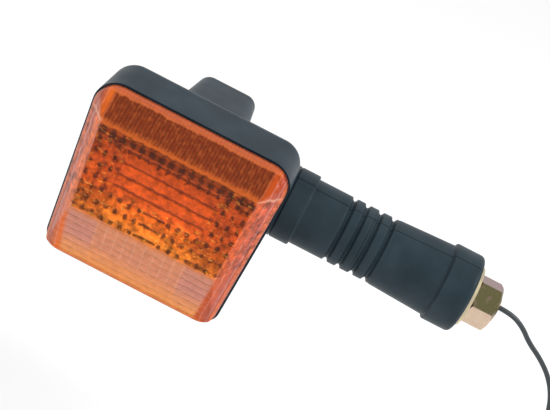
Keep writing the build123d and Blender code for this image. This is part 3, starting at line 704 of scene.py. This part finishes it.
def tube_mesh(name, profile, material):
    """A tube about the stud's axis through (x, radius, seam depth) stations in millimetres."""
    vertices = []
    for x, radius, seam in profile:
        for angle in ANGLES:
            lift = 0.0
            for middle in (SEAM_ANGLE, SEAM_ANGLE + pi):
                apart = abs((angle - middle + pi) % (2 * pi) - pi)
                lift = max(lift, seam * max(0.0, 1 - apart / SEAM_HALF))
            r = radius * MM - lift
            vertices.append((x * MM, -r * cos(angle), r * sin(angle)))
    around = len(ANGLES)
    faces = grid_faces(len(profile), around)
    faces += joining_faces(range((len(profile) - 1) * around, len(profile) * around), range(around))
    return add_mesh(name, vertices, faces, material)


def add_stem():
    """Two halves of one rubber moulding that meet at the bend's centre, round the plates inside."""
    seam = SEAM_DEPTH
    head_side = [(NECK_X, INSERT_HOLE_R, 0), (NECK_X, NECK_R, 0), (COLLAR_X, NECK_R, 0)]
    head_side += [(x, stem_radius(x), seam) for x in stem_stations(COLLAR_X, PIVOT_X)]
    head_side += [(PIVOT_X, BORE, 0), (-54.3, BORE, 0), (-81.95, BORE, 0)]
    head_side += [(-81.95, INSERT_POCKET_R, 0), (-84.05, INSERT_POCKET_R, 0), (-84.05, INSERT_HOLE_R, 0)]
    base_side = [(THICK_X, BORE, 0), (PIVOT_X, BORE, 0)]
    base_side += [(x, stem_radius(x), seam) for x in stem_stations(PIVOT_X, -0.02)]
    base_side += [(-0.02, PLATE_POCKET_R, 0), (-2.55, PLATE_POCKET_R, 0)]
    base_side += [(-2.55, STUD_HOLE_R, 0), (-10.55, STUD_HOLE_R, 0), (-10.55, BORE, 0)]
    upper = tube_mesh("stem_rubber_head", head_side, RUBBER)
    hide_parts("stem_head_end")
    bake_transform(upper)
    lower = tube_mesh("stem_rubber_base", base_side, RUBBER)
    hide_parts("stem_base", "stem_ribs")
    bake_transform(lower)


add_stem()


# ---------------------------------------------------------------- the leads and the squeezed contact spring inside
def wire_mesh(name, points, radius, material, around=14):
    """A wire through points, closed at both ends."""
    vertices = []
    count = len(points)
    for i, point in enumerate(points):
        way = (points[min(i + 1, count - 1)] - points[max(i - 1, 0)]).normalized()
        out = way.cross(Vector((0.3, 0.2, 1.0))).normalized()
        over = way.cross(out)
        for j in range(around):
            angle = 2 * pi * j / around
            vertices.append(point + radius * (cos(angle) * out + sin(angle) * over))
    faces = grid_faces(count, around)
    faces.append(tuple(range(around)))
    faces.append(tuple(range((count - 1) * around, count * around)))
    return add_mesh(name, vertices, faces, material)


def add_inner_leads():
    """The live and earth leads through the stem, each in two straight lengths that meet at the stem's pivot.
    """
    steps = 60
    for wire, z, base_end in (("live", 1.4, 12.2), ("earth", -1.4, -10.5)):
        for side, start, end in (("head", -96.0, PIVOT_X), ("base", PIVOT_X, base_end)):
            points = []
            for i in range(steps + 1):
                x = start + (end - start) * i / steps
                points.append(Vector((x * MM, 0, z * MM)))
            length = wire_mesh(f"{wire}_wire_{side}", points, WIRE_R, PVC)
            if side == "head":
                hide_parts(f"{wire}_lead_stem", f"{wire}_lead_flex")
                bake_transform(length)
            else:
                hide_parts(f"{wire}_lead_base")
                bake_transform(length)


def add_contact_spring():
    """The contact's coil spring, squeezed between the plunger's head and the insulator."""
    front, rear, coil, turns, steps = 8.45, 10.35, 2.1, 3, 150
    points = []
    for i in range(steps + 1):
        t = i / steps
        angle = 2 * pi * turns * t
        y = front + (rear - front) * t
        points.append(Vector(((HEAD_X + coil * cos(angle)) * MM, y * MM, (3.0 + coil * sin(angle)) * MM)))
    spring = wire_mesh("contact_coil", points, 0.22 * MM, SPRING_STEEL, 10)
    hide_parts("contact_spring")
    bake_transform(spring)


add_inner_leads()
add_contact_spring()


# ---------------------------------------------------------------- lens
LENS_TOP_HALF = 36.9
LENS_BOTTOM_HALF = 33.6
LENS_TOP_CORNER = 8.6
LENS_BOTTOM_CORNER = 6.1
LENS_RIM_Y = -38.0
LENS_BAND_Y = -40.3
LENS_INNER_Y = -39.4
LENS_MIDDLE_Z = -4.3
LENS_DEPTH = 10.7
INNER_RINGS = 24
TOP_SLOPE = 1.13
SIDE_SLOPE = 1.50
CHIN_SLOPE = 0.42
BREAK_Z = 21.0
CHIN_Z = -13.0
FACE_HALF = 29.4
RIM_GROOVE = 1.9
RIM_GROOVE_HALF = 0.6


def lens_half_width(z):
    """Half the lens's width at a height, with the corners rounded."""
    along = (z - LENS_BOTTOM) / (LENS_TOP - LENS_BOTTOM)
    half = LENS_BOTTOM_HALF + (LENS_TOP_HALF - LENS_BOTTOM_HALF) * along
    for gap, corner in ((LENS_TOP - z, LENS_TOP_CORNER), (z - LENS_BOTTOM, LENS_BOTTOM_CORNER)):
        if gap < corner:
            half -= corner - sqrt(max(0.0, corner**2 - (corner - gap) ** 2))
    return half


def round_min(a, b, radius):
    """The smaller of two heights, with the crease between them rounded."""
    over_a, over_b = max(radius - a, 0.0), max(radius - b, 0.0)
    return min(max(a, radius), max(b, radius)) - hypot(over_a, over_b)


def lens_height(x, z):
    """How far the lens's smooth surface stands out of its rim."""
    along = (z - LENS_BOTTOM) / (LENS_TOP - LENS_BOTTOM)
    straight_half = LENS_BOTTOM_HALF + (LENS_TOP_HALF - LENS_BOTTOM_HALF) * along
    side = (straight_half - abs(x)) * SIDE_SLOPE
    top = (LENS_TOP - z) * TOP_SLOPE
    chin = (z - LENS_BOTTOM) * CHIN_SLOPE
    height = round_min(side, top, 6.5)
    height = round_min(height, chin, 1.6)
    return max(0.0, round_min(height, LENS_DEPTH, 1.1))


def valley(place, pitch, phase, power):
    """0 over the middle of each moulded ridge and 1 along the grooves between them."""
    return 1 - abs(sin(pi * (place + phase) / pitch)) ** power


def lens_relief(x, z):
    """How deep the moulded optics cut: flutes, then bars and pillows, then the chin's lines."""
    inwards = lens_half_width(z) - abs(x)
    edge = smoothstep(3.0, 4.5, inwards)
    to_rim = min(inwards, LENS_TOP - z, z - LENS_BOTTOM)
    if abs(to_rim - RIM_GROOVE) < RIM_GROOVE_HALF:
        return 0.3 * (1 - ((to_rim - RIM_GROOVE) / RIM_GROOVE_HALF) ** 2)
    if z > BREAK_Z + 0.4:
        fade = smoothstep(BREAK_Z + 0.4, BREAK_Z + 1.4, z) * smoothstep(29.9, 28.9, z)
        return 0.22 * valley(x, *FLUTES, 1.0) * fade * edge
    if z > CHIN_Z:
        fade = smoothstep(CHIN_Z, CHIN_Z + 1, z) * smoothstep(BREAK_Z, BREAK_Z - 0.8, z)
        fade *= smoothstep(FACE_HALF, FACE_HALF - 1.2, abs(x))
        rows = valley(z, *BARS, 0.6)
        if abs(x) < 17.5:
            return 0.45 * rows * fade
        return 0.5 * max(rows, valley(x, *PILLOWS, 0.6)) * fade
    return 0.18 * valley(z, *CHIN_LINES, 0.8) * edge * smoothstep(LENS_BOTTOM + 1, LENS_BOTTOM + 3, z)


def add_lens():
    """The amber lens: a height field over its outline, closed at the back by its skirt and inner wall."""
    rows, columns = 260, 250
    vertices = []
    for i in range(rows):
        t = i / (rows - 1)
        eased = 0.5 - 0.5 * cos(pi * t)
        z = LENS_BOTTOM + (LENS_TOP - LENS_BOTTOM) * (0.25 * eased + 0.75 * t)
        half = lens_half_width(z)
        for j in range(columns):
            x = half * (2 * j / (columns - 1) - 1)
            y = LENS_BAND_Y - lens_height(x, z) + lens_relief(x, z)
            vertices.append(((HEAD_X + x) * MM, y * MM, z * MM))
    faces = grid_faces(rows, columns, wrap=False)
    # the boundary loop, in order round the outline
    loop = list(range(columns))
    loop += [i * columns + columns - 1 for i in range(1, rows)]
    loop += [(rows - 1) * columns + j for j in range(columns - 2, -1, -1)]
    loop += [i * columns for i in range(rows - 2, 0, -1)]
    # the skirt, then the inner wall, which follows the outer one further in down to a flat middle
    rings = [(1.0, LENS_RIM_Y), (0.95, LENS_RIM_Y), (0.95, -34.0), (0.9, -34.0), (0.9, LENS_INNER_Y)]
    rings += [(0.9 - 0.7 * i / INNER_RINGS, None) for i in range(1, INNER_RINGS + 1)]
    previous = loop
    for scale, skirt_y in rings:
        ring = []
        for k in loop:
            x = (vertices[k][0] / MM - HEAD_X) * scale
            z = LENS_MIDDLE_Z + (vertices[k][2] / MM - LENS_MIDDLE_Z) * scale
            y = skirt_y or LENS_INNER_Y - max(0.0, lens_height(x, z) - 1.5)
            ring.append(len(vertices))
            vertices.append(((HEAD_X + x) * MM, y * MM, z * MM))
        faces += joining_faces(previous, ring)
        previous = ring
    faces.append(tuple(previous))
    lens = add_mesh("lens_shell", vertices, faces, AMBER)
    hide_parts("lens")
    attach(lens, "head")


add_lens()


# ---------------------------------------------------------------- stud with its thread
def add_stud():
    """The hollow stud, with a rolled 1.25 mm thread down to its plate."""
    pitch, depth, outer, bore, chamfer = 1.25, 0.55, 5.95, 3.4, 0.6
    around = 72
    inner_end, outer_end, step = -10.5, 12.2, 0.11
    vertices = []
    rows = int((outer_end - inner_end) / step)
    for i in range(rows):
        x = inner_end + step * i
        for j in range(around):
            angle = 2 * pi * j / around
            phase = (x / pitch - angle / (2 * pi)) % 1.0
            tooth = 1 - abs(2 * phase - 1)
            radius = outer - depth * (1 - min(1.0, 1.25 * tooth))
            radius -= max(0.0, x - outer_end + chamfer)
            vertices.append((x * MM, radius * cos(angle) * MM, radius * sin(angle) * MM))
    ends = [(outer_end, 5.0), (outer_end, bore + 0.4), (outer_end - 0.4, bore)]
    ends += [(inner_end, bore), (inner_end, outer - depth)]
    for x, radius in ends:
        for j in range(around):
            angle = 2 * pi * j / around
            vertices.append((x * MM, radius * cos(angle) * MM, radius * sin(angle) * MM))
    rows += len(ends)
    faces = grid_faces(rows, around)
    faces += joining_faces(range((rows - 1) * around, rows * around), range(around))
    stud = add_mesh("stud_threaded", vertices, faces, ZINC_YELLOW, "mount")
    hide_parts("stud")


add_stud()


# ---------------------------------------------------------------- stage and light
def add_stage():
    """A pale floor well below the lamp."""
    z = cad_box[0][2] - 0.03
    size = 3.0
    mesh = bpy.data.meshes.new("floor")
    corners = [(-size, -size, z), (size, -size, z), (size, size, z), (-size, size, z)]
    mesh.from_pydata(corners, [], [(0, 1, 2, 3)])
    floor = bpy.data.objects.new("floor", mesh)
    scene.collection.objects.link(floor)
    dress(floor, new_material("floor_white", (0.95, 0.95, 0.95), 0.9)[0])


def add_light(name, place, target, energy, size):
    """A square soft light."""
    data = bpy.data.lights.new(name, "AREA")
    data.energy = energy
    data.size = size
    light = bpy.data.objects.new(name, data)
    scene.collection.objects.link(light)
    light.location = place
    way = Vector(target) - Vector(place)
    light.rotation_euler = way.to_track_quat("-Z", "Y").to_euler()


def add_world():
    """An even white surround."""
    world = bpy.data.worlds.new("studio")
    world.use_nodes = True
    background = world.node_tree.nodes["Background"]
    background.inputs["Color"].default_value = (1, 1, 1, 1)
    background.inputs["Strength"].default_value = 0.92
    scene.world = world


add_stage()
add_world()
AIM = (-0.08, -0.01, 0.0)
add_light("key", (0.62, -0.12, 0.78), AIM, 5.0, 0.35)
scene.view_settings.view_transform = "Standard"
